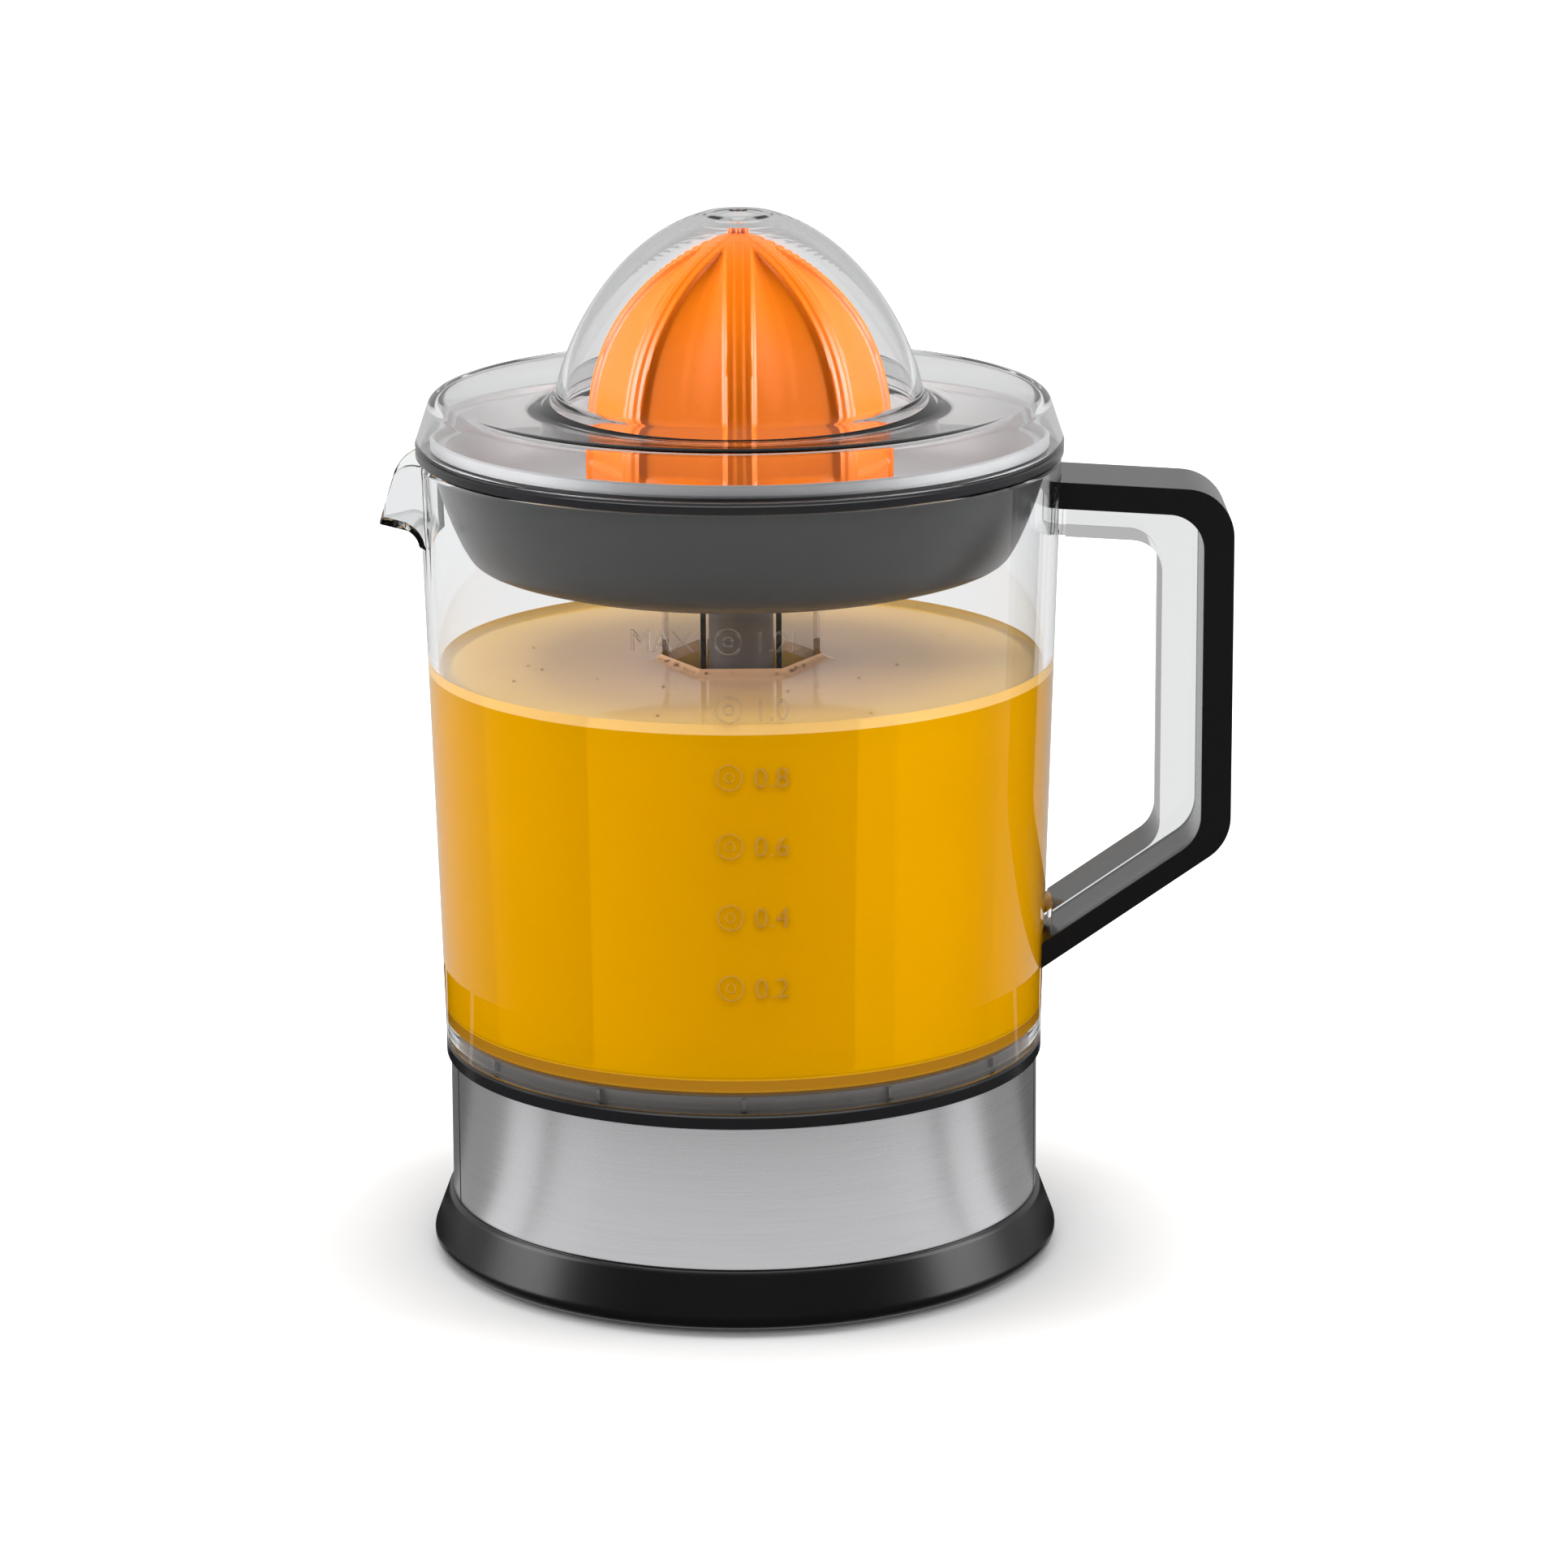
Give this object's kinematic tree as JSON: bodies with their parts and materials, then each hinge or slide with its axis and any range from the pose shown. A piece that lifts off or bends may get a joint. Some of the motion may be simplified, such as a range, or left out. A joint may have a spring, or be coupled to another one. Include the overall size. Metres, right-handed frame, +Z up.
{
  "type": "citrus press juicer",
  "caption": "Electric citrus juicer: steel-banded motor base, clear jug with handle and spout, collector bowl, strainer, ribbed reamer cone and clear domed dust cover.",
  "frame": {"origin": "on the axis of the drive shaft, in the plane of the feet", "axes": "+Z up along the shaft, +X towards the handle, -X towards the spout, -Y front"},
  "size_m": [0.1885, 0.1432, 0.2357],
  "materials": {
    "black_plastic": "satin black",
    "black_base": "satin black",
    "steel_band": "brushed around the band",
    "steel": "ground",
    "rubber": "matte",
    "clear_jug": "clear, polished",
    "clear_cover": "clear, polished",
    "dark_grey": "satin dark grey",
    "orange": "glossy orange",
    "gear_plastic": "natural",
    "brass": "machined",
    "bronze": "sintered",
    "copper": "lacquered winding",
    "magnet": "ferrite",
    "plate_steel": "zinc plated",
    "switch_red": "matte red"
  },
  "bodies": {
    "base": {"rubber_feet": "rubber", "bottom_plate": "black_base", "lower_housing": "black_base", "steel_band": "steel_band", "upper_housing": "black_base", "cord_gland": "rubber", "base_screws": "steel", "gear_frame": "plate_steel", "frame_screws": "steel", "motor_screws": "steel", "motor_can": "plate_steel", "motor_magnets": "magnet", "compound_axle": "steel", "lower_bush": "bronze", "upper_bush": "bronze", "shaft_seal": "rubber", "microswitch": "black_base", "return_spring": "steel"},
    "rotor": {"motor_rotor": "copper", "motor_pinion": "brass"},
    "compound": {"compound_gear": "gear_plastic"},
    "press": {"plunger": "gear_plastic"},
    "shaft": {"drive_shaft": "steel", "output_gear": "gear_plastic", "shaft_sleeve": "dark_grey", "drive_head": "dark_grey"},
    "button": {"switch_button": "switch_red"},
    "jug_body": {"jug": "clear_jug", "handle_frame": "clear_jug", "handle_grip": "black_plastic"},
    "collector_body": {"collector": "dark_grey"},
    "strainer_body": {"strainer": "steel"},
    "coupler_body": {"cone_coupler": "dark_grey"},
    "cone_body": {"reamer_cone": "orange"},
    "cover_body": {"dust_cover": "clear_cover"}
  },
  "joints": [
    {"name": "shaft_press", "type": "slide", "parent": "base", "child": "press", "axis": [0, 0, 1], "range_m": [-0.0025, 0], "stiffness_N_per_m": 3500, "springref_m": 0.003, "deforming": ["return_spring"]},
    {"name": "shaft_spin", "type": "hinge", "parent": "press", "child": "shaft", "pos_m": [0, 0, 0.041], "axis": [0, 0, 1], "continuous": true},
    {"name": "motor_spin", "type": "hinge", "parent": "base", "child": "rotor", "pos_m": [-0.03236, 0.01337, 0.016], "axis": [0, 0, 1], "continuous": true},
    {"name": "compound_spin", "type": "hinge", "parent": "base", "child": "compound", "pos_m": [-0.02819, -0.01026, 0.036], "axis": [0, 0, 1], "continuous": true},
    {"name": "switch_press", "type": "slide", "parent": "base", "child": "button", "axis": [0, 0, 1], "range_m": [-0.0013, 0]},
    {"name": "jug_lift", "type": "slide", "parent": "base", "child": "jug_body", "axis": [0, 0, 1], "range_m": [0, 0.14]},
    {"name": "collector_lift", "type": "slide", "parent": "jug_body", "child": "collector_body", "axis": [0, 0, 1], "range_m": [0, 0.06]},
    {"name": "strainer_lift", "type": "slide", "parent": "collector_body", "child": "strainer_body", "axis": [0, 0, 1], "range_m": [0, 0.04]},
    {"name": "coupler_spin", "type": "hinge", "parent": "strainer_body", "child": "coupler_body", "pos_m": [0, 0, 0.179], "axis": [0, 0, 1], "continuous": true},
    {"name": "cone_press", "type": "slide", "parent": "coupler_body", "child": "cone_body", "axis": [0, 0, 1], "range_m": [-0.0025, 0]},
    {"name": "cover_lift", "type": "slide", "parent": "strainer_body", "child": "cover_body", "axis": [0, 0, 1], "range_m": [0, 0.06]}
  ],
  "couplings": [
    {"joint": "compound_spin", "follows": "motor_spin", "ratio": -0.25},
    {"joint": "shaft_spin", "follows": "motor_spin", "ratio": 0.0625},
    {"joint": "coupler_spin", "follows": "motor_spin", "ratio": 0.0625},
    {"joint": "switch_press", "follows": "shaft_press", "ratio": 0.52},
    {"joint": "cone_press", "follows": "shaft_press", "ratio": 1}
  ]
}
